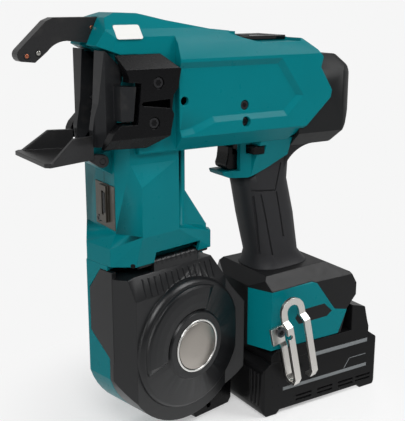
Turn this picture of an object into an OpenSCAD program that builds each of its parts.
// Cordless rebar tying tool: nose to -X, left side to -Y, standing on its battery at Z = 0.

/* [Barrel] */
// Half width of the barrel at its flat sides
barrel_half_w = 36; // [34:0.5:38]
// Height of the twisting axis above the ground
axis_z = 248; // [244:0.5:252]
// Thickness of the moulded shells
shell_wall = 3; // [2.5:0.1:3.5]
// Depth of the recessed panel in the barrel's side
panel_depth = 2.4; // [1:0.1:2.6]
// Width of the bevel round the recessed panel
panel_bevel = 4; // [3:0.25:6]
// How far the nose steps in for each side cover
nose_step = 8; // [7:0.25:9]
// Radius of the motor end cover
rear_cover_r = 34.5; // [33:0.5:35]
// How far the motor end cover reaches back
rear_cover_x = 112; // [109:0.5:115]

/* [Nose] */
// Thickness of the upper curl guide
arm_t = 10; // [8:0.5:12]
// Gap between the two contact plates
plate_gap = 19.4; // [17:0.2:22]
// Width of one contact plate
plate_w = 15; // [13:0.25:15.5]
// Half width of the lower tray at its lip
tray_lip_half_w = 29.5; // [26:0.5:32]
// Half width of the lower tray at its root
tray_root_half_w = 18; // [17:0.5:20]
// Sheet thickness of the lower tray
tray_t = 3; // [2:0.25:3.5]
// Radius of the lower tray's hinge pin
tray_pin_r = 2; // [1.5:0.1:2.5]

/* [Drive] */
// Radius of the twisting spindle
spindle_r = 7; // [6:0.25:8]
// Radius of the gear case
gear_case_r = 27; // [25:0.5:28]
// Outer radius of the motor stator
stator_r = 25; // [23:0.5:26]
// Radius of the motor rotor
rotor_r = 15; // [13:0.5:16]
// Radius of the rotor shaft
shaft_r = 4; // [3:0.25:5]
// Wall of a rolling bearing between its bore and its outside
bearing_wall = 5; // [4:0.5:6]
// Pitch radius of a wire feed gear
feed_gear_r = 10; // [9:0.25:11]
// Diameter of the tie wire
wire_d = 1.6; // [1:0.1:2]

/* [Grip] */
// Half depth of the grip from front to back
grip_half_d = 21; // [19:0.5:23]
// Half width of the grip
grip_half_w = 17; // [15:0.5:19]
// How far the trigger travels
trigger_travel = 6; // [4:0.5:6]
// Half width of the trigger
trigger_half_w = 8; // [7:0.25:9]

/* [Base and battery] */
// Half width of the base
base_half_w = 38; // [37:0.25:39]
// Half width of the battery
batt_half_w = 39; // [38:0.25:40]
// Front of the battery
batt_x = 25; // [24:0.25:27]
// Length of the battery
batt_len = 118; // [116:0.5:122]
// Height of the battery's body
batt_h = 54; // [52:0.25:54]
// Diameter of a battery cell
cell_d = 21; // [20:0.1:21]
// Length of a battery cell
cell_len = 70; // [66:0.5:70]
// Width of the belt hook's steel strip
hook_w = 22; // [20:0.5:23]
// Lean of the belt hook, its bend to the rear
hook_lean = 12; // [10:0.5:14]
// Thickness of the belt hook's steel strip
hook_t = 2.5; // [2:0.1:3]

/* [Reel] */
// Reel centre along the tool
reel_x = -35; // [-37:0.5:-33]
// Reel centre across the tool
reel_y = 5; // [3:0.5:7]
// Reel centre above the ground
reel_z = 70; // [68:0.5:72]
// Angle of the reel to the tool's length
reel_yaw = 12; // [10:0.5:14]
// Outer radius of the reel case
case_r = 60; // [58:0.25:62]
// Distance from the reel centre to the flat front of the reel case
case_front = 57; // [55:0.25:58]
// Radius of the spool's flanges
spool_r = 45.5; // [43:0.5:46]
// Radius of the hub that the spool turns on
hub_r = 12; // [10:0.5:14]
// Radius of the dome on the reel cover
dome_r = 50; // [48:0.5:51]
// Height of the dome on the reel cover
dome_h = 8; // [6:0.5:9]
// Radius of the disc in the middle of the dome
disc_r = 17; // [14:0.5:19]
// Radius of the reel cover's hinge pin
cover_pin_r = 1.75; // [1.5:0.05:2]

/* [Hidden] */
$fn = 48;

teal = "#00747c";
black = "#232425";
dark_grey = "#3c3d3f";
smoke = "#303234";
steel = "#b9b7b2";
copper = "#b87351";

// Gap of a seat where two pieces of one body meet
seat = 0.05;
// Gap round a turning shaft
run = 0.05;
// Gap between pieces that move past each other
clear = 0.4;

nose_half_w = barrel_half_w - nose_step;
// Levels up the tool
ground_z = 0;
barrel_bottom = axis_z - 32;
hood_floor = axis_z + 34;
hood_top = axis_z + 60;
base_bottom = batt_h + 0.3;
base_top = base_bottom + 62;
shelf_z = reel_z + 67;
column_top = barrel_bottom + 4.5;
// Places along the tool
nose_x = -72;
cover_end_x = -44;
column_front = -84;
column_rear = -31;
base_front = 25.5;
rear_tip = rear_cover_x;

// Points of an arc about c, from angle a0 to a1
function arc(c, r, a0, a1, n = 8) =
  [for (i = [0:n]) c + r * [cos(a0 + (a1 - a0) * i / n), sin(a0 + (a1 - a0) * i / n)]];
// A half outline with x >= 0, closed by its mirror image
function both_sides(half) = concat(half, [for (i = [len(half) - 1:-1:0]) [-half[i][0], half[i][1]]]);
// A half plan with y >= 0, closed by its mirror image
function both_sides_y(half) = concat(half, [for (i = [len(half) - 1:-1:0]) [half[i][0], -half[i][1]]]);
// A clockwise outline grown by d, its corners mitred
function mitred(pts, d) = [for (i = [0:len(pts) - 1]) let (
    a = pts[(i + len(pts) - 1) % len(pts)], b = pts[i], c = pts[(i + 1) % len(pts)],
    u = (b - a) / norm(b - a), v = (c - b) / norm(c - b), m = [-u[1], u[0]], n = [-v[1], v[0]])
  b + d * (m + n) / (1 + m * n)];
// A rounded rectangle with half sizes a and b
function round_rect(a, b, r, n = 5) = concat(
  arc([a - r, b - r], r, 0, 90, n), arc([r - a, b - r], r, 90, 180, n),
  arc([r - a, r - b], r, 180, 270, n), arc([a - r, r - b], r, 270, 360, n));

// A side outline in X and Z, between y0 and y1
module side(pts, y0, y1, grow = 0) {
  translate([0, y1, 0]) rotate([90, 0, 0]) linear_extrude(y1 - y0) {
    if (grow == 0) polygon(pts);
    else offset(delta = grow) polygon(pts);
  }
}
// A cross-section in Y and Z, between x0 and x1
module section(pts, x0, x1, grow = 0) {
  translate([x0, 0, 0]) rotate([90, 0, 90]) linear_extrude(x1 - x0) {
    if (grow == 0) polygon(pts);
    else offset(delta = grow) polygon(pts);
  }
}
// A plan outline in X and Y, between z0 and z1
module plan(pts, z0, z1, grow = 0) {
  translate([0, 0, z0]) linear_extrude(z1 - z0) {
    if (grow == 0) polygon(pts);
    else offset(delta = grow) polygon(pts);
  }
}
// A box from one corner to the other
module block(a, b) {
  translate(a) cube(b - a);
}
// A cylinder on the twisting axis from x0 to x1
module on_axis(x0, x1, r) {
  translate([x0, 0, axis_z]) rotate([0, 90, 0]) cylinder(r = r, h = x1 - x0);
}
// A cylinder across the tool from y0 to y1 at the place at = [x, z]
module across(at, y0, y1, r) {
  translate([at[0], y1, at[1]]) rotate([90, 0, 0]) cylinder(r = r, h = y1 - y0);
}
// The same between two places across the tool, in either order
module between(at, ya, yb, r) {
  across(at, min(ya, yb), max(ya, yb), r);
}
// A skin between rings of points, each ring of the same length
module loft(rings) {
  n = len(rings[0]);
  m = len(rings);
  pts = [for (r = rings) for (p = r) p];
  sides = [for (j = [0:m - 2]) for (i = [0:n - 1]) let (k = (i + 1) % n)
    each [[j * n + i, (j + 1) * n + i, (j + 1) * n + k], [j * n + i, (j + 1) * n + k, j * n + k]]];
  polyhedron(pts, concat(sides, [[for (i = [0:n - 1]) i], [for (i = [n - 1:-1:0]) (m - 1) * n + i]]));
}
// Children placed in the reel's own frame: x along the reel, -y out to the cover, z up from its centre
module at_reel() {
  translate([reel_x, reel_y, reel_z]) rotate([0, 0, reel_yaw]) children();
}
// A body of revolution about the reel's axis, its profile in radius and distance out to the cover
module reel_turned(profile) {
  rotate([90, 0, 0]) rotate_extrude() polygon(profile);
}

// Barrel: side outline, cross-section and plan, which together bound its form
barrel_side = [
  [nose_x, barrel_bottom], [nose_x, hood_floor], [-84, hood_floor], [-97.5, hood_floor + 5.5],
  [-89, hood_top - 3], [-80, hood_top], [-64, hood_top - 0.5], [-46, axis_z + 55], [-15, axis_z + 49],
    [10, axis_z + 46.5],
  [41, axis_z + 45], [60, axis_z + 41], [72, axis_z + 33], [77, axis_z + 27.5], [75, axis_z + 20],
  [86, axis_z + 3], [85, axis_z - 2.5], [52, barrel_bottom]
];
barrel_section = both_sides(concat(
  [[barrel_half_w - 9, barrel_bottom], [barrel_half_w, barrel_bottom + 10], [barrel_half_w, axis_z + 30]],
  [[barrel_half_w - 4, axis_z + 40], [barrel_half_w - 12, axis_z + 50],
    [barrel_half_w - 22, axis_z + 58.5],
   [barrel_half_w - 29, axis_z + 62]]));
barrel_plan = concat(
  [for (s = [1]) each [[-99, 19], [-88, nose_half_w], [cover_end_x, nose_half_w],
    [cover_end_x, barrel_half_w], [90, barrel_half_w]]],
  [[90, -barrel_half_w], [cover_end_x, -barrel_half_w], [cover_end_x, -nose_half_w],
    [-88, -nose_half_w], [-99, -19]]);
module barrel_form(grow = 0) {
  intersection() {
    side(barrel_side, -60, 60, grow);
    section(barrel_section, -110, 110, grow);
    plan(barrel_plan, 0, 400, grow);
  }
}
// Recessed panel on each side of the barrel
panel_side = [
  [cover_end_x - 8, axis_z + 24], [37, axis_z + 24], [54, axis_z + 1], [43, axis_z - 9.5],
  [-18, axis_z - 9.5], [-34, axis_z - 16], [cover_end_x - 8, axis_z - 18]
];
module panel_cut() {
  rings = [for (k = [0, 2]) [for (p = mitred(panel_side, k * panel_bevel))
    [p[0], barrel_half_w + (k - 1) * panel_depth, p[1]]]];
  loft(rings);
  mirror([0, 1, 0]) loft(rings);
}

// Handle head: the teal block between the barrel and the grip, with the trigger guard
trigger_x = 11;
trigger_top = barrel_bottom - 5;
guard_z = barrel_bottom - 28;
guard_top = guard_z + 4.5;
head_rear = 57;
head_side = [
  [trigger_x - 4.5, guard_z + 4], [trigger_x - 3.5, guard_z + 1.5], [trigger_x + 1, guard_z - 0.5],
  [trigger_x + 6, guard_z - 1], [25, guard_z - 0.5], [32, guard_z + 2],
  [41, guard_z + 6], [head_rear, guard_z + 15], [head_rear, barrel_bottom + 1],
  [20, barrel_bottom + 1], [20, guard_top], [trigger_x - 4, guard_top]
];
head_section = both_sides([[16, guard_z - 2], [19, guard_z + 8], [27, barrel_bottom + 1]]);
// Plan of the head, its front no wider than the trigger
head_plan = both_sides_y([[-10, trigger_half_w + 1], [trigger_x + 4, trigger_half_w + 1.5],
  [27, 2 * trigger_half_w + 1], [31, 5 * trigger_half_w], [70, 5 * trigger_half_w]]);
module head_form(grow = 0) {
  intersection() {
    side(head_side, -40, 40, grow);
    section(head_section, -10, 70, grow);
    plan(head_plan, 0, 400, grow);
  }
}
switch_x = 36;
switch_z = guard_z + 9;
lock_at = [29, barrel_bottom - 7];
lock_half = [5, 3];

// Bulkheads that carry the drive inside the barrel
spindle_rear = 4;
gear_x = [spindle_rear, 34];
stator_x = [46, 80];
shaft_x = [gear_x[1] - 4, 98];
spindle_bearing_x = [-48, -10];
motor_bearing_x = [37, 88];
bearing_w = 7;
bulkhead_t = 3;
spindle_out_r = spindle_r + bearing_wall;
motor_out_r = shaft_r + bearing_wall;
// One bulkhead centred on the bearing or body it holds
module bulkhead(x0, x1, hole_r) {
  difference() {
    intersection() {
      barrel_form(-shell_wall + 0.5);
      block([x0, -60, 100], [x1, 60, 400]);
    }
    on_axis(x0 - 1, x1 + 1, hole_r + seat);
  }
}
key_at = [[22, -11], [22, 0], [22, 11]];
screen_x = [30, 52];
display_z = axis_z + 40;
display_x = [12, 56];
display_half_w = 17;
dip_side = [
  [0, axis_z + 46], [9, axis_z + 42.6], [24.4, axis_z + 38.8], [58, axis_z + 39], [64, axis_z + 60],
    [0, axis_z + 60]
];
peep_at = [cover_end_x + 4, axis_z + 2.4];
peep_r = 3;

module housing() {
  difference() {
    union() {
      difference() {
        union() {
          barrel_form();
          head_form();
        }
        barrel_form(-shell_wall);
        panel_cut();
        // Rear mouth for the motor end cover
        on_axis(60, 100, stator_r + 3);
      }
      intersection() {
        barrel_form();
        union() {
          for (s = [-1, 1]) {
            side(panel_side, s * (barrel_half_w - panel_depth - shell_wall / 2) - shell_wall / 2,
                 s * (barrel_half_w - panel_depth - shell_wall / 2) + shell_wall / 2, panel_bevel);
          }
        }
      }
      for (at = screw_at) {
        across(at, -barrel_half_w + panel_depth, -screw_tip, screw_head_r + 2.5);
      }
      for (x = spindle_bearing_x) {
        bulkhead(x, x + bearing_w, spindle_out_r);
      }
      bulkhead(gear_x[0] + 10, gear_x[0] + 10 + bulkhead_t, gear_case_r);
      bulkhead(motor_bearing_x[0], motor_bearing_x[0] + bearing_w, motor_out_r);
      bulkhead(stator_x[0] + 4, stator_x[0] + 4 + bulkhead_t, stator_r);
      // Block that grips the curl guide under the hood
      intersection() {
        barrel_form(-shell_wall + 0.5);
        block([-84, -14, hood_floor - 6], [-50, 14, hood_top]);
      }
      // Floor under the display
      intersection() {
        barrel_form();
        block([dip_side[0][0] - 4, -60, display_z - 5], [display_x[1] + 10, 60, hood_top]);
      }
    }
    // Slot of the curl guide
    block([-120, -arm_t / 2 - seat, hood_floor - 20],
      [arm_root_x + seat, arm_t / 2 + seat, arm_top_z + seat]);
    across(pin_at[2], -arm_t / 2 - pin_proud - seat, arm_t / 2 + pin_proud + seat, pin_r + seat);
    // Mouths of the spindle and of the contact plates' rods
    on_axis(nose_x - 5, nose_x + 6, spindle_r + 2 + clear);
    plate_rods(plate_rod_r + clear, nose_x + 8);
    // Seat of the stator
    on_axis(stator_x[0], stator_x[0] + 15, stator_r + seat);
    // Trigger and switch pocket in the handle head
    block([trigger_x - 1, -trigger_half_w - clear, guard_top],
          [switch_x, trigger_half_w + clear, barrel_bottom - 3]);
    switch_form(seat);
    // Window of the lock button
    block([lock_at[0] - lock_half[0] - clear, -40, lock_at[1] - lock_half[1] - clear],
          [lock_at[0] + lock_half[0] + clear, 40, lock_at[1] + lock_half[1] + clear]);
    // Display recess
    block([display_x[0], -display_half_w, display_z],
          [display_x[1], display_half_w, hood_top + 5]);
    // Dip in the walls beside the display
    for (s = [-1, 1]) {
      side(dip_side, s < 0 ? -60 : display_half_w - 1, s < 0 ? 1 - display_half_w : 60);
    }
    // Hole behind each side cover
    across(peep_at, -60, 2 * shell_wall - barrel_half_w, peep_r);
    across(peep_at, barrel_half_w - 2 * shell_wall, 60, peep_r);
    // Mouth down into the wire column
    block([wire_x - 9, -20, barrel_bottom - 5], [wire_x + 9, 20, barrel_bottom + shell_wall + 1]);
    // Housing screw holes
    for (at = screw_at) {
      across(at, -60, -screw_tip, screw_r);
      across(at, -60, -screw_seat, screw_head_r + 0.3);
    }
    for (at = cover_screw_at) {
      across(at, -60, 60, screw_r);
    }
  }
}
switch_half_w = 9;
screw_r = 2;
screw_tip = gear_case_r + 0.6;
screw_seat = barrel_half_w - panel_depth - 1.8;
screw_head_r = 3.2;
screw_at = [[9, axis_z - 3.5], [9, axis_z - 15]];
cover_screw_at = [[-61.5, axis_z + 16], [-65, axis_z - 10]];

module housing_left() {
  color(teal) intersection() {
    housing();
    block([-200, -100, 0], [200, 0, 400]);
  }
}
module housing_right() {
  color(teal) intersection() {
    housing();
    block([-200, 0, 0], [200, 100, 400]);
  }
}

// Motor end cover: a box with cut corners that meets the barrel's zigzag edge
drum_z = axis_z - 6;
drum_flat = 22;
drum_low = 32;
drum_section = both_sides([
  [drum_flat + 2, drum_z - drum_low], [rear_cover_r, drum_z - drum_flat],
  [rear_cover_r, drum_z + drum_flat], [drum_flat, drum_z + rear_cover_r]
]);
drum_plan = both_sides_y([
  [44, rear_cover_r], [rear_tip - 9, rear_cover_r], [rear_tip, rear_cover_r - 10]
]);
drum_side = [
  [40, drum_z + 60], [rear_tip - 10, drum_z + 60], [rear_tip - 10, drum_z + rear_cover_r],
  [rear_tip, drum_z + 20], [rear_tip, drum_z - 4], [rear_tip - 13, drum_z - drum_low],
  [rear_tip - 13, drum_z - 60], [40, drum_z - 60]
];
module drum(grow = 0) {
  intersection() {
    section(drum_section, 44, rear_tip + 1, grow);
    plan(drum_plan, 0, 400, grow);
    side(drum_side, -60, 60, grow);
  }
}
module rear_cover() {
  color(black) difference() {
    drum();
    difference() {
      drum(-shell_wall);
      // Rib that holds the rear motor bearing
      block([motor_bearing_x[1], -60, 100], [motor_bearing_x[1] + bearing_w, 60, 400]);
    }
    on_axis(60, motor_bearing_x[1] + bearing_w + 1, motor_out_r + seat);
    intersection() {
      barrel_form(seat);
      block([0, -60, 0], [90, 60, 400]);
    }
    block([0, -60, 0], [head_rear + seat, 60, 400]);
  }
}

// Side covers: bevelled plates with a notch for the contact plate's lug
cover_side = [
  [-99.7, axis_z - 25.5], [-94.4, axis_z - 15.2], [-89.2, axis_z - 10], [-77, axis_z - 10.4],
  [-74, axis_z + 16.2], [-83, axis_z + 17], [-82.7, axis_z + 20], [-88.5, axis_z + 34],
  [-55.6, axis_z + 34], [cover_end_x - 0.4, axis_z + 24.3], [cover_end_x - 2.8, axis_z + 12],
  [-50.5, axis_z + 7.4], [-51.5, axis_z - 2], [-50, axis_z - 5], [-53, axis_z - 19.3], [-68, axis_z - 27]
];
cover_out = barrel_half_w + 1;
cover_section = [
  [nose_half_w + seat, axis_z - 27], [cover_out - 6, axis_z - 27], [cover_out, axis_z - 19],
  [cover_out, axis_z + 25], [nose_half_w + seat, axis_z + 35]
];
wedge_side = [[-73, axis_z + 4.1], [-53, axis_z + 5], [-53, axis_z - 1], [-73, axis_z + 1.6],
  [-74.2, axis_z + 2.8]];
module side_cover() {
  difference() {
    intersection() {
      side(cover_side, -60, 60);
      section(cover_section, -110, 0);
    }
    side(wedge_side, cover_out - 4, cover_out + 2);
    for (at = cover_screw_at) {
      across(at, 0, 60, screw_r);
      across(at, cover_out - 2.5, 60, screw_r + 2);
    }
  }
}
module side_cover_left() {
  color(black) mirror([0, 1, 0]) side_cover();
}
module side_cover_right() {
  color(black) side_cover();
}

// Upper curl guide: a thick steel arm that bends the wire round
arm_root_x = -60;
arm_top_z = axis_z + 57.2;
arm_bottom_z = axis_z + 37;
arm_side = concat(
  [[arm_root_x, arm_bottom_z], [arm_root_x, arm_top_z], [-119, arm_top_z], [-124, arm_top_z - 2]],
  arc([-139.5, axis_z + 34.5], 4.6, 130, 240, 5),
  [[-132.5, axis_z + 29.5]],
  arc([-110.5, axis_z + 25], 17.5, 140, 90, 6));
pin_at = [[-137.8, axis_z + 33.8], [-130, axis_z + 35.4], [-90, axis_z + 50.6]];
pin_r = 2;
pin_proud = 0.3;
module curl_guide() {
  color(black) difference() {
    side(arm_side, -arm_t / 2, arm_t / 2);
    for (at = pin_at) {
      across(at, -20, 20, pin_r + seat);
    }
  }
}
module guide_pins() {
  color(copper) for (at = pin_at) {
    across(at, -arm_t / 2 - pin_proud, arm_t / 2 + pin_proud, pin_r);
  }
}

// Contact plates: two leaning bars joined by a yoke, with side lugs in the covers' notches
plate_side = [
  [-94, axis_z + 36.5], [-92.5, axis_z + 36], [-82.7, axis_z + 26], [-82.6, axis_z + 16],
  [-84.8, axis_z - 6], [-90, axis_z - 18.4], [-96, axis_z - 26], [-98.5, axis_z - 26.5],
  [-99.5, axis_z - 15], [-96.5, axis_z + 2.4]
];
lug_side = [[-88, axis_z + 14.5], [-77, axis_z + 14], [-79.5, axis_z - 8], [-88, axis_z - 8]];
plate_rod_r = 3;
plate_rod_z = [axis_z + 22, axis_z - 14];
plate_rod_y = plate_gap / 2 + plate_w / 2;
module plate_rods(r, x1) {
  for (s = [-1, 1]) for (z = plate_rod_z) {
    translate([-90, s * plate_rod_y, z]) rotate([0, 90, 0]) cylinder(r = r, h = x1 + 90);
  }
}
module contact_plates() {
  color(dark_grey) union() {
    for (s = [-1, 1]) {
      intersection() {
        side(plate_side, -60, 60);
        plan([for (p = [[-110, 0.6], [-98, 0.4], [-94, 1], [-60, 1], [-60, 0], [-110, 0]])
          [p[0], s * (plate_gap / 2 + p[1] * plate_w)]], 0, 400);
      }
      side(lug_side, min(s * (plate_gap / 2 + plate_w - 2), s * (cover_out - 1.5)),
           max(s * (plate_gap / 2 + plate_w - 2), s * (cover_out - 1.5)));
    }
    plate_rods(plate_rod_r, nose_x + 4);
  }
}
module plate_springs() {
  color(steel) for (s = [-1, 1]) for (z = plate_rod_z) {
    translate([nose_x - 5.2, s * plate_rod_y, z]) rotate([0, 90, 0]) difference() {
      cylinder(r = plate_rod_r + 1.8, h = 5);
      translate([0, 0, -1]) cylinder(r = plate_rod_r + 0.6, h = 8);
    }
  }
}

// Lower tray: a flared scoop on a cross pin
tray_pin = [-93, axis_z - 36];
tray_z = axis_z - 34;
tray_tip = -138;
tray_back = -100;
tray_wall_h = 16;
lug_half_w = 10;
module lower_guide() {
  color(black) difference() {
    union() {
      // Flared floor
      plan([[tray_back, tray_root_half_w], [tray_tip + 3, tray_lip_half_w],
        [tray_tip, tray_lip_half_w - 3],
            [tray_tip, 3 - tray_lip_half_w], [tray_tip + 3, -tray_lip_half_w],
              [tray_back, -tray_root_half_w]],
           tray_z, tray_z + tray_t);
      // Flared walls
      intersection() {
        side([[tray_back, tray_z], [tray_back, tray_z + tray_wall_h],
          [tray_back - 16, tray_z + tray_wall_h],
              [tray_tip + 5, tray_z + tray_t], [tray_tip + 2, tray_z]], -60, 60);
        difference() {
          plan([[tray_back, tray_root_half_w], [tray_tip + 3, tray_lip_half_w],
                [tray_tip + 3, -tray_lip_half_w], [tray_back, -tray_root_half_w]], 0, 400);
          plan([[tray_back + 1, tray_root_half_w - tray_t], [tray_tip - 1, tray_lip_half_w - tray_t],
                [tray_tip - 1, tray_t - tray_lip_half_w], [tray_back + 1, tray_t - tray_root_half_w]],
                  0, 400);
        }
      }
      // Hinge lugs
      for (s = [-1, 1]) {
        side(concat([[tray_back - 4, tray_z], [tray_back - 4, tray_z + tray_t],
          [tray_back + 2, tray_z + tray_t]],
          arc(tray_pin, 4.5, 90, -120, 8)), s * (lug_half_w + 3.4) - 3, s * (lug_half_w + 3.4) + 3);
      }
    }
    across(tray_pin, -60, 60, tray_pin_r + run);
  }
}
module lower_guide_pin() {
  color(steel) across(tray_pin, -lug_half_w - 6, lug_half_w + 6, tray_pin_r);
}

// Wire column: a faceted tower that flares and turns down to the reel shelf
column_half = 34;
column_left = 31;
column_plan = [
  [column_front, column_half], [column_front, -14], [column_front + 12, -column_left],
  [-39, 7.5 - column_left], [-37, 13 - column_left], [column_rear, 13 - column_left], [column_rear, 24],
  [-41, column_half]
];
// Front view of the column, with the chamfer at the top of its left face
column_face = [
  [-60, 0], [-60, barrel_bottom - 26], [-column_left, barrel_bottom - 22],
    [-column_left + 7, barrel_bottom - 7],
  [-column_left + 7, axis_z], [60, axis_z], [60, 0]
];
gusset_side = [
  [column_rear - 2, shelf_z + 51], [column_rear, shelf_z + 49], [-9, shelf_z + 19], [-9, shelf_z + 11],
  [column_rear - 2, shelf_z + 11]
];
gusset_plan = [[column_rear - 3, 14 - column_left], [column_rear, 14 - column_left], [0, -9], [0, 18],
  [column_rear - 3, 23]];
shelf_plan = [[-57, 19], [-57, -8], [-45, -21], [27, -21], [31, -15], [31, 19]];
flare_z = [shelf_z + 13, shelf_z + 23];
module column_form(grow = 0) {
  plan(column_plan, flare_z[1] - 0.5, column_top, grow);
  hull() {
    plan(column_plan, flare_z[1] - 1, flare_z[1], grow);
    translate([0, 0, -reel_z]) at_reel() plan(shelf_plan, shelf_z, flare_z[0], grow);
  }
}
wire_x = -58;
feed_z = axis_z - 58;
feed_x = [wire_x + feed_gear_r + wire_d / 2, wire_x - feed_gear_r - wire_d / 2];
feed_half_w = 5;
axle_r = 2.5;
feed_motor_r = 11;
tube_r = 3;
module wire_column() {
  color(teal) difference() {
    union() {
      intersection() {
        side(gusset_side, -60, 60);
        plan(gusset_plan, 0, 400);
      }
      difference() {
        intersection() {
          column_form();
          section(column_face, -200, 100);
        }
        // Cavity, with a floor and a roof left in place
        difference() {
          intersection() {
            column_form(-shell_wall);
            section(column_face, -200, 100, -shell_wall);
          }
          block([-200, -100, shelf_z - 1], [200, 100, shelf_z + shell_wall]);
          block([-200, -100, barrel_bottom - 4], [200, 100, column_top + 1]);
          // Shelves that hold the wire tube
          block([-200, -100, feed_z - 24], [200, 100, feed_z - 20]);
          // Cheeks that hold the feed axles
          block([-200, -feed_half_w - 5, feed_z - 20], [200, -feed_half_w - 1, feed_z + 20]);
          block([-200, feed_half_w + 1, feed_z - 20], [200, feed_half_w + 5, feed_z + 20]);
        }
      }
      // Ear of the lower tray's pin
      side(concat([[column_front + 2, tray_pin[1] - 12], [column_front + 2, tray_pin[1] + 6]],
        arc(tray_pin, 4.5, 90, 230, 6)), -lug_half_w, lug_half_w);
    }
    barrel_cut();
    across(tray_pin, -60, 60, tray_pin_r + seat);
    for (x = feed_x) {
      across([x, feed_z], -feed_half_w - 6, feed_half_w + 6, axle_r + seat);
    }
    translate([wire_x, 0, shelf_z - 5]) cylinder(r = tube_r + seat, h = 100);
    // Notch for the reel cover's knuckles
    at_reel() block([knuckle_x[0] - clear, -40, shelf_z - reel_z - 1],
                    [knuckle_x[1] + clear, -hinge_out + knuckle_r + 1, shelf_z - reel_z + 8]);
    at_reel() hinge_line(cover_pin_r + seat, -60, 40);
    // Seat of the latch plate
    latch_seat();
  }
}
// Room for the barrel where the column joins it
module barrel_cut() {
  intersection() {
    barrel_form(seat);
    block([-200, -100, 0], [200, 100, 400]);
  }
}
latch_z = [axis_z - 86, axis_z - 55];
latch_half_w = 15;
latch_t = 1.5;
module latch_seat() {
  block([column_front - 6, -latch_half_w + 1, latch_z[0]],
    [column_front + latch_t, latch_half_w + 1, latch_z[1]]);
}
module latch_plate() {
  color(steel) difference() {
    union() {
      block([column_front - 0.4, -latch_half_w + 1 + seat, latch_z[0] + seat],
            [column_front + latch_t - seat, latch_half_w + 1 - seat, latch_z[1] - seat]);
      block([column_front - 2.4, -4, latch_z[0] + 4], [column_front, 6, latch_z[1] - 1]);
      translate([column_front - 2, 8, latch_z[0] + 5]) rotate([0, 90, 0]) cylinder(r = 2.6, h = 2.5);
    }
    block([column_front - 5, -0.5, latch_z[0] + 9], [column_front + 0.4, 2.5, latch_z[1] - 5]);
  }
}

// Reel case: the wall round the spool, open to the left
case_top = shelf_z - reel_z;
case_in = -4;
case_out = 20;
case_rear = 54;
front_angle = 180 + acos(case_front / case_r);
case_side = concat(
  arc([0, 0], case_r, front_angle, 360 - acos(case_rear / case_r), 20),
  [[case_rear, 30], [case_rear - 10, 46], [28, case_top], [-case_front, case_top]]);
module reel_case() {
  color(teal) difference() {
    union() {
      at_reel() difference() {
        side(case_side, case_in, case_out);
        side(case_side, case_in - 1, case_out - shell_wall, -shell_wall);
        // Corner taken by the reel cover's front return
        cover_wrap(clear);
        across([0, 0], 0, 40, hub_bolt_r);
      }
    }
    at_reel() translate([0, 0, -reel_z]) translate([wire_x - reel_x, 0, 100]) cylinder(r = tube_r + 2,
      h = 60);
  }
}
hub_bolt_r = 3;
wrap_t = 4;
wrap_y = case_out - shell_wall;
wrap_top = case_top - 4;
// The front return of the cover, which wraps the case's front corner
module cover_wrap(grow) {
  intersection() {
    side([[-case_front - 5 * grow, wrap_top + grow], [-case_front - 5 * grow, -8 - grow],
          [wrap_t - case_front + grow, -8 - grow], [wrap_t - case_front + grow, wrap_top + grow]], -60,
            60);
    section([[-9, -6 - grow], [wrap_y + grow, 14 - grow], [wrap_y + grow, 46 + grow],
      [4, wrap_top + grow],
             [-9, wrap_top + grow]], -90, 90);
  }
}
foot_x = [14, 53];
foot_y = [-18.5, case_out];
foot_gap = 1.5;
module reel_foot() {
  color(black) at_reel() difference() {
    side([[foot_x[0] - 4, -case_r - 3], [foot_x[0], -reel_z], [foot_x[1] - 3, -reel_z],
          [foot_x[1], 4 - reel_z], [foot_x[1], -30], [foot_x[0], -50]], foot_y[0], foot_y[1]);
    side(case_side, case_in - foot_gap, case_out + 1, seat);
    side(lid_side, -60, case_in, foot_gap);
    across([foot_x[0] + 14, 6 - reel_z], -40, foot_y[0] + 8, 2.2);
  }
}

// Reel cover: faceted lid with a dome, hinged under the shelf
cover_out_y = 26.5;
hinge_out = 17;
hinge_z = case_top - 1.5;
knuckle_r = 3.5;
knuckle_x = [-28, 14];
cover_wall = 2.5;
lid_rear = 51.5;
lid_top = case_top - 7;
lid_side = concat(
  arc([0, 0], case_r, front_angle, 360 - acos(lid_rear / case_r), 20),
  [[lid_rear, 20], [42, 34], [28, lid_top], [-46, lid_top], [-case_front, lid_top - 2]]);
lid_back = case_in - clear;
// Plan of the lid with its open back at y
function lid_plan(y) = [
  [-case_front, y], [-case_front, -8], [-50, -cover_out_y], [38, -cover_out_y],
  [lid_rear - 1, -34.5], [lid_rear, -32], [lid_rear, y]
];
// Section of the lid, which leans in below the hinge
lid_section = [
  [60, -100], [-60, -100], [-60, lid_top - 40], [-cover_out_y, lid_top - 16],
  [-20.5, lid_top], [60, lid_top + 1]
];
module lid_form(back, grow = 0) {
  intersection() {
    side(lid_side, -60, 60, grow);
    plan(lid_plan(back), -100, 100, grow);
    section(lid_section, -100, 100, grow);
  }
}
dome_round = 6;
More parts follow.
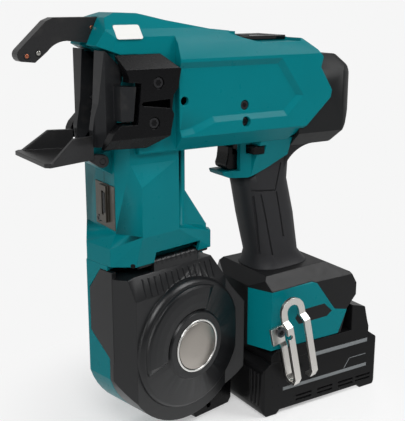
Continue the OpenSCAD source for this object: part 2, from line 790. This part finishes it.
// Profile of the dome in radius and distance out to the cover
function dome_profile(shrink) = concat(
  [[0, cover_out_y - 8], [dome_r - shrink, cover_out_y - 8]],
  arc([dome_r - dome_round, cover_out_y - 1], dome_round - shrink, 0, 62, 6),
  [[disc_r + 9.5, cover_out_y + dome_h - 2 - shrink], [disc_r + 8, cover_out_y + dome_h + 0.5 - shrink],
   [disc_r + 3, cover_out_y + dome_h + 0.5 - shrink], [disc_r + 2, cover_out_y + dome_h - shrink],
   [0, cover_out_y + dome_h - shrink]]);
module hinge_line(r, x0, x1) {
  translate([x0, -hinge_out, hinge_z]) rotate([0, 90, 0]) cylinder(r = r, h = x1 - x0);
}
module reel_cover() {
  color(smoke) at_reel() difference() {
    union() {
      difference() {
        union() {
          lid_form(lid_back);
          reel_turned(dome_profile(0));
          cover_wrap(0);
        }
        // Hollow, open to the back
        lid_form(case_out, -cover_wall);
        reel_turned(dome_profile(cover_wall));
      }
      // Hinge knuckle with its strap
      hinge_line(knuckle_r, knuckle_x[0], knuckle_x[1]);
      block([knuckle_x[0], -hinge_out - knuckle_r, case_top - 12], [knuckle_x[1], -hinge_out, hinge_z]);
    }
    hinge_line(cover_pin_r + run, -60, 60);
    reel_turned([[0, cover_out_y + dome_h - 1], [disc_r + seat, cover_out_y + dome_h - 1],
                 [disc_r + seat, cover_out_y + dome_h + 5], [0, cover_out_y + dome_h + 5]]);
  }
}
module reel_cover_pin() {
  color(steel) at_reel() hinge_line(cover_pin_r, knuckle_x[0] - 12, knuckle_x[1] + 12);
}
module cover_disc() {
  color(steel) at_reel() reel_turned([[0, cover_out_y + dome_h - 1 + seat],
    [disc_r, cover_out_y + dome_h - 1 + seat],
    [disc_r, cover_out_y + dome_h + 0.5], [0, cover_out_y + dome_h + 0.5]]);
}

// Spool and its wire on a fixed hub
spool_half = 13;
core_r = 24;
module reel_hub() {
  color(dark_grey) at_reel() reel_turned([[0, -case_out + shell_wall + seat],
    [hub_r + 6, -case_out + shell_wall + seat],
    [hub_r + 6, -spool_half - clear], [hub_r, -spool_half - clear], [hub_r, spool_half + 3],
      [hub_r - 3, spool_half + 5],
    [0, spool_half + 5]]);
}
module wire_reel() {
  color(black) at_reel() reel_turned([[hub_r + run, -spool_half], [spool_r, -spool_half],
    [spool_r, 2.5 - spool_half],
    [core_r, 2.5 - spool_half], [core_r, spool_half - 2.5], [spool_r, spool_half - 2.5],
      [spool_r, spool_half],
    [hub_r + run, spool_half]]);
}
module reel_wire() {
  color(steel) at_reel() reel_turned([[core_r + seat, 2.5 - spool_half + seat],
    [spool_r - 4, 2.5 - spool_half + seat],
    [spool_r - 4, spool_half - 2.5 - seat], [core_r + seat, spool_half - 2.5 - seat]]);
}

// Drive on the twisting axis
module twist_spindle() {
  color(steel) union() {
    on_axis(nose_x - 2, spindle_rear + 6, spindle_r);
    on_axis(spindle_bearing_x[0] + bearing_w + 0.3, spindle_bearing_x[0] + bearing_w + 4,
      spindle_r + 2.5);
    on_axis(nose_x - 2, nose_x + 4, spindle_r + 2);
  }
}
module twist_hooks() {
  color(dark_grey) for (s = [-1, 1]) {
    translate([0, 0, axis_z]) scale([1, 1, s]) translate([0, 0, -axis_z])
      side([[nose_x - 2 - seat, axis_z + 1], [nose_x - 2 - seat, axis_z + 7], [nose_x - 16, axis_z + 8],
            [nose_x - 21, axis_z + 5], [nose_x - 19, axis_z + 3.5], [nose_x - 15, axis_z + 4.5],
            [nose_x - 6, axis_z + 4]], -2.5, 2.5);
  }
}
module ring(x, bore, outer) {
  difference() {
    on_axis(x, x + bearing_w, outer);
    on_axis(x - 1, x + bearing_w + 1, bore);
  }
}
module spindle_bearings() {
  color(steel) for (x = spindle_bearing_x) {
    ring(x, spindle_r + run, spindle_out_r);
  }
}
module gear_case() {
  color(dark_grey) difference() {
    on_axis(gear_x[0], gear_x[1], gear_case_r);
    on_axis(gear_x[0] - 1, spindle_rear + 6 + clear, spindle_r + run);
    on_axis(shaft_x[0] - clear, gear_x[1] + 1, shaft_r + run);
  }
}
module motor_stator() {
  color(copper) difference() {
    on_axis(stator_x[0], stator_x[1], stator_r);
    on_axis(stator_x[0] - 1, stator_x[1] + 1, rotor_r + 0.5);
  }
}
module motor_rotor() {
  color(steel) union() {
    on_axis(shaft_x[0], shaft_x[1], shaft_r);
    on_axis(stator_x[0] + 1, stator_x[1] - 1, rotor_r);
  }
}
module motor_bearings() {
  color(steel) for (x = motor_bearing_x) {
    ring(x, shaft_r + run, motor_out_r);
  }
}

// Wire feed in the column
module feed_motor() {
  color(dark_grey) across([feed_x[0], feed_z], feed_half_w + 5 + seat, column_half - shell_wall - 7,
    feed_motor_r);
}
module feed_gear(x, turn) {
  teeth = 18;
  color(steel) translate([x, 0, feed_z]) rotate([90, turn, 0]) difference() {
    translate([0, 0, -feed_half_w]) linear_extrude(2 * feed_half_w)
      polygon([for (i = [0:4 * teeth - 1])
        (feed_gear_r + (i % 4 < 2 ? 0 : -1)) * [cos(90 * i / teeth), sin(90 * i / teeth)]]);
    translate([0, 0, -feed_half_w - 1]) cylinder(r = axle_r + run, h = 2 * feed_half_w + 2);
  }
}
module feed_gear_drive() {
  feed_gear(feed_x[0], 0);
}
module feed_gear_idle() {
  feed_gear(feed_x[1], 0);
}
module feed_axles() {
  color(steel) for (x = feed_x) {
    across([x, feed_z], -feed_half_w - 5, feed_half_w + 5, axle_r);
  }
}
module wire_tube() {
  color(steel) for (z = [[shelf_z - 3, feed_z - 16], [barrel_bottom - 10, barrel_bottom + 8]]) {
    translate([wire_x, 0, z[0]]) difference() {
      cylinder(r = tube_r, h = z[1] - z[0]);
      translate([0, 0, -1]) cylinder(r = wire_d, h = z[1] - z[0] + 2);
    }
  }
}
module cutter_block() {
  color(steel) difference() {
    block([wire_x - 6, -8, barrel_bottom + shell_wall], [wire_x + 6, 8, barrel_bottom + shell_wall + 9]);
    translate([wire_x, 0, barrel_bottom]) cylinder(r = tube_r + seat, h = 8);
    translate([wire_x, 0, barrel_bottom]) cylinder(r = wire_d, h = 30);
  }
}

// Trigger group
trigger_rear = switch_x - trigger_travel - 3;
trigger_step_x = lock_at[0] - lock_half[0] - trigger_travel - 1;
module trigger() {
  lock_low = lock_at[1] - lock_half[1] - 2 * clear;
  low = guard_top + clear;
  color(black) side([[trigger_rear, low], [trigger_rear, lock_low], [trigger_step_x, lock_low],
    [trigger_step_x, trigger_top], [trigger_x + 2, trigger_top], [trigger_x + 1.7, guard_z + 18],
    [trigger_x + 1, guard_z + 13], [trigger_x - 0.4, guard_z + 9], [trigger_x + 0.2, guard_z + 6.4],
    [trigger_x + 3, low]], -trigger_half_w, trigger_half_w);
}
spring_r = 3;
spring_z = switch_z + 5;
module switch_form(grow = 0) {
  intersection() {
    block([switch_x - grow, -switch_half_w - grow, switch_z - grow],
          [head_rear - 4 + grow, switch_half_w + grow, barrel_bottom - 4 + grow]);
    side(head_side, -60, 60, grow - 2);
  }
}
module trigger_switch() {
  color(dark_grey) difference() {
    switch_form();
    translate([switch_x - 1, 0, spring_z]) rotate([0, 90, 0]) cylinder(r = spring_r + clear, h = 5);
  }
}
module trigger_spring() {
  color(steel) translate([trigger_rear + seat, 0, spring_z]) rotate([0, 90, 0])
    cylinder(r = spring_r, h = trigger_travel + 5);
}
module lock_button() {
  color(black) block([lock_at[0] - lock_half[0], -24, lock_at[1] - lock_half[1]],
                     [lock_at[0] + lock_half[0], 24, lock_at[1] + lock_half[1]]);
}

// Display on top of the barrel
key_half = 3.5;
panel_t = 3;
module display_panel() {
  color(black) difference() {
    block([display_x[0] + seat, -display_half_w + seat, display_z],
          [display_x[1] - seat, display_half_w - seat, display_z + panel_t]);
    for (at = key_at) {
      block([at[0] - key_half - 0.2, at[1] - key_half - 0.2, display_z + 1],
            [at[0] + key_half + 0.2, at[1] + key_half + 0.2, display_z + 10]);
    }
    block([screen_x[0], -12, display_z + panel_t - 0.6], [screen_x[1], 12, display_z + 10]);
  }
}
module display_key(i) {
  color(dark_grey) block([key_at[i][0] - key_half, key_at[i][1] - key_half, display_z + 1.8],
    [key_at[i][0] + key_half, key_at[i][1] + key_half, display_z + panel_t + 0.6]);
}
module display_key_mode() {
  display_key(0);
}
module display_key_less() {
  display_key(1);
}
module display_key_more() {
  display_key(2);
}

// Grip: a raked rubber handle that flares at both ends
function grip_ring(x, z, a, b, tilt) =
  [for (p = round_rect(a, b, b * 0.8, 5)) [x + p[0], p[1], z + p[0] * tilt]];
grip_top_z = guard_z + 12;
module grip() {
  color(black) difference() {
    loft([
      grip_ring(64, base_top - 8, grip_half_d + 10, grip_half_w + 9, 0),
      grip_ring(61, base_top - 1, grip_half_d + 4, grip_half_w + 3, 0),
      grip_ring(58.5, base_top + 7, grip_half_d, grip_half_w, 0),
      grip_ring(52, base_top + 38, grip_half_d + 1, grip_half_w + 0.5, 0),
      grip_ring(46, base_top + 64, grip_half_d, grip_half_w, 0.1),
      grip_ring(45, grip_top_z - 4, grip_half_d + 2, grip_half_w, 0.3),
      grip_ring(47, grip_top_z + 8, grip_half_d + 4, grip_half_w + 1, 0.5)
    ]);
    side(head_side, -60, 60, seat);
    base_form(seat);
    barrel_form(seat);
    drum(seat);
  }
}

// Base of the grip: black shell with teal side panels
base_side = [
  [base_front, base_bottom], [base_front, base_top - 14], [base_front + 8, base_top - 4],
    [92, base_top - 2],
  [112, base_top - 12], [118, base_top - 22], [118, base_top - 32], [109, base_top - 42],
    [103, base_bottom]
];
base_section = both_sides([[base_half_w, base_bottom - 1], [base_half_w, base_top - 14],
  [base_half_w - 12, base_top]]);
panel_t_side = 2.5;
base_panel_side = [
  [base_front - 1, base_bottom - 1], [base_front - 1, base_top - 15], [72, base_top - 13],
    [77, base_top - 15],
  [92, base_top - 35], [96, base_top - 40], [109, base_top - 43], [100, base_bottom - 1]
];
base_band = [
  [56, base_top - 40], [60, base_top - 34.5], [85, base_top - 33.5],
  [93, base_top - 41], [88, base_top - 44.5], [60, base_top - 45.5]
];
// Plan of the base, its front corners cut back
base_nose = 17;
base_plan = both_sides_y([
  [base_front, base_nose], [base_front + 16, base_nose + 43], [200, base_nose + 43]
]);
module base_form(grow = 0) {
  intersection() {
    side(base_side, -60, 60, grow);
    section(base_section, 0, 150, grow);
    plan(base_plan, 0, 400, grow);
  }
}
rail_half_w = 22;
rail_h = 11;
panel_plan = [
  [0, base_nose], [base_front + 5, base_nose], [base_front + 5, rail_half_w + 2], [200, rail_half_w + 2],
  [200, 60], [0, 60]
];
module base_panel(s) {
  intersection() {
    difference() {
      base_form();
      base_form(-panel_t_side);
      side(base_band, -60, 60);
    }
    side(base_panel_side, min(0, s * 60), max(0, s * 60));
    plan([for (p = panel_plan) [p[0], s * p[1]]], 0, 400);
  }
}
module base_shell() {
  color(black) difference() {
    base_form();
    difference() {
      base_form(-panel_t_side - shell_wall);
      block([0, -60, base_top - 24], [200, 60, base_top - 21]);
    }
    base_panel(-1);
    base_panel(1);
    // Channel of the battery's rail, open to the rear and below
    block([base_front + 9, -rail_half_w - clear, 0],
      [200, rail_half_w + clear, base_bottom + rail_h + clear]);
    across(hook_screw_at, -base_half_w - 1, -base_half_w + 8, screw_r + seat);
    across(hook_screw_at, base_half_w - 8, base_half_w + 1, hook_hole_r);
  }
}
module base_panel_left() {
  color(teal) difference() {
    base_panel(-1);
    across(hook_screw_at, -60, 0, screw_r + seat);
  }
}
module base_panel_right() {
  color(teal) difference() {
    base_panel(1);
    across(hook_screw_at, 0, 60, hook_hole_r);
  }
}

// Belt hook: a steel strip bent down, round and up again, with a slot in its outer leg
hook_screw_at = [39.5, base_top - 46.5];
hook_hole_r = 2;
hook_x = hook_screw_at[0] + 9.5;
hook_out = [base_half_w + hook_t, base_half_w + 16];
hook_low = batt_h - 26;
hook_top = base_top - 17;
hook_in = max(batt_half_w, base_half_w) + 1.5 * clear;
hook_leg = 5.5;
hook_section = [
  [-base_half_w - seat, base_top - 40], [-hook_out[0], base_top - 40], [-hook_out[0], base_bottom + 8],
  [-hook_in - hook_t, base_bottom + 5], [-hook_in - hook_t, hook_low + 6],
  [-hook_in - hook_t - 2, hook_low + hook_t], [-hook_out[1] + 5, hook_low + hook_t],
  [-hook_out[1] + hook_t, hook_low + 7],
  [-hook_out[1] + hook_t, base_top - 38], [-hook_out[1] + hook_t + 5, base_top - 34],
  [-hook_out[1] + hook_t + 5, hook_top], [-hook_out[1] + 5, hook_top], [-hook_out[1] + 5, base_top - 33],
  [-hook_out[1], base_top - 37], [-hook_out[1], hook_low + 6], [-hook_out[1] + 4, hook_low],
  [-hook_in - 2, hook_low], [-hook_in, hook_low + 5], [-hook_in, base_bottom + 4],
  [-base_half_w - seat, base_bottom + 7]
];
// Outline of the loop, or of its slot, with half width a
function loop_side(a) = concat([[hook_x + a, 0]], arc([hook_x, hook_top - hook_w / 2], a, 0, 180, 8),
  [[hook_x - a, 0]]);
module belt_hook() {
  pivot = [hook_x, 0, hook_screw_at[1]];
  half = hook_w / 2;
  color(steel) difference() {
    translate(pivot) rotate([0, -hook_lean, 0]) translate(-pivot) {
      // Outer loop
      intersection() {
        section(hook_section, hook_x - half, hook_x + half);
        difference() {
          side(loop_side(half), -100, -hook_in - hook_t - 2);
          side(loop_side(half - hook_leg), -101, 0);
        }
      }
      // Inner leg, carried on by the front leg of the loop
      intersection() {
        section(hook_section, hook_x - half, hook_x - half + hook_leg);
        block([0, -hook_in - hook_t - 3, 0], [200, 0, 400]);
      }
      // Plate under the screw
      block([hook_x - 17, -hook_out[0], base_bottom + 8],
            [hook_x - half + hook_leg, -base_half_w - seat, base_top - 40]);
    }
    across(hook_screw_at, -100, 0, screw_r + seat);
  }
}
module hook_screw() {
  color(steel) union() {
    across(hook_screw_at, -hook_out[0] - 2.5, -hook_out[0], screw_r + 2);
    across(hook_screw_at, -hook_out[0], -base_half_w + 6, screw_r);
  }
}

// Electronics in the base
module control_board() {
  color("#1d5c34") block([base_front + 16, -26, base_top - 21], [100, 26, base_top - 19]);
}
module terminal_block() {
  color(black) block([base_front + 18, -15, base_bottom + rail_h + clear], [80, 15, base_top - 24]);
}

// Slide battery
rail_x = [base_front + 11, 112];
cell_n = 5;
batt_end = batt_x + batt_len;
batt_side = [
  [batt_x, 5], [batt_x + 4, ground_z], [batt_x + 14, ground_z], [batt_x + 17, 3], [batt_end - 20, 3],
  [batt_end - 17, ground_z], [batt_end - 3, ground_z], [batt_end, 4], [batt_end, batt_h - 12],
  [batt_end - 10, batt_h - 5], [batt_end - 10, batt_h - 10], [batt_x + 8, batt_h - 10],
    [batt_x, batt_h - 16]
];
lid_z = batt_h - 10;
hump_x = batt_end - 29;
hump_z = batt_h + 22;
latch_travel = 4;
latch_x = [batt_end - 20, batt_end - 14.5];
latch_key_half_w = 11;
latch_key_z = [batt_h + 4, batt_h + 14];
slot_x = [58, 80, 102, 121];
slot_z = [6.2, 9.6];
slot_len = 16;
slot_depth = 1.5;
module battery_case() {
  color(black) difference() {
    side(batt_side, -batt_half_w, batt_half_w);
    // Drain slots in the flanks
    for (s = [-1, 1]) for (x = slot_x) for (z = slot_z) {
      translate([x, s * batt_half_w - slot_depth, z]) cube([slot_len, 2 * slot_depth, 1.7]);
    }
    for (z = cell_z) for (i = [0:cell_n - 1]) {
      across([cell_x0 + i * cell_pitch, z], -cell_len / 2 - seat, cell_len / 2 + seat, cell_d / 2 + seat);
    }
  }
}
cell_pitch = cell_d + 0.6;
cell_x0 = batt_x + batt_len / 2 - 2 * cell_pitch;
cell_z = [4 + cell_d / 2, 4.4 + cell_d * 1.5];
module battery_lid() {
  color(black) union() {
    difference() {
      side([[batt_x + 8.2, lid_z + seat], [batt_end - 10 - seat, lid_z + seat],
        [batt_end - 10 - seat, batt_h],
            [batt_end - 12, batt_h + 6], [batt_end - 15, hump_z - 4], [hump_x, hump_z], [hump_x, batt_h],
            [batt_x + 14, batt_h], [batt_x + 8.2, batt_h - 4]], -batt_half_w, batt_half_w);
      block([latch_x[0] - clear, -latch_key_half_w - clear, latch_key_z[0] - latch_travel - clear],
            [batt_end + 5, latch_key_half_w + clear, latch_key_z[1] + clear]);
      for (i = [0:cell_n - 1]) {
        across([cell_x0 + i * cell_pitch, cell_z[1]], -cell_len / 2 - seat, cell_len / 2 + seat,
          cell_d / 2 + seat);
      }
    }
    block([rail_x[0], -rail_half_w, batt_h - 1], [hump_x + 1, rail_half_w, base_bottom + rail_h - clear]);
  }
}
module battery_latch() {
  color("#8c1d2b") block([latch_x[0], -latch_key_half_w, latch_key_z[0]],
                         [latch_x[1], latch_key_half_w, latch_key_z[1]]);
}
module battery_cells() {
  color("#3b6ea5") for (z = cell_z) for (i = [0:cell_n - 1]) {
    across([cell_x0 + i * cell_pitch, z], -cell_len / 2, cell_len / 2, cell_d / 2);
  }
}

// Screws of the housing and of the side covers, heads to the left
module housing_screws() {
  color(steel) {
    for (at = screw_at) {
      across(at, -screw_seat, -screw_tip, screw_r - seat);
      across(at, -screw_seat - 1.2, -screw_seat - seat, screw_head_r);
    }
    for (s = [-1, 1]) for (at = cover_screw_at) {
      between(at, s * (nose_half_w - 6), s * (cover_out - 2.5), screw_r - seat);
      between(at, s * (cover_out - 2.5), s * (cover_out - 0.5), screw_r + 1.6);
    }
  }
}

housing_left();
housing_right();
rear_cover();
side_cover_left();
side_cover_right();
curl_guide();
guide_pins();
contact_plates();
plate_springs();
lower_guide();
lower_guide_pin();
wire_column();
reel_case();
reel_foot();
reel_cover();
reel_cover_pin();
cover_disc();
latch_plate();
reel_hub();
wire_reel();
reel_wire();
twist_spindle();
twist_hooks();
spindle_bearings();
gear_case();
motor_stator();
motor_rotor();
motor_bearings();
feed_motor();
feed_gear_drive();
feed_gear_idle();
feed_axles();
wire_tube();
cutter_block();
trigger();
trigger_spring();
trigger_switch();
lock_button();
display_panel();
display_key_mode();
display_key_less();
display_key_more();
grip();
base_shell();
base_panel_left();
base_panel_right();
belt_hook();
hook_screw();
control_board();
terminal_block();
battery_case();
battery_lid();
battery_latch();
battery_cells();
housing_screws();
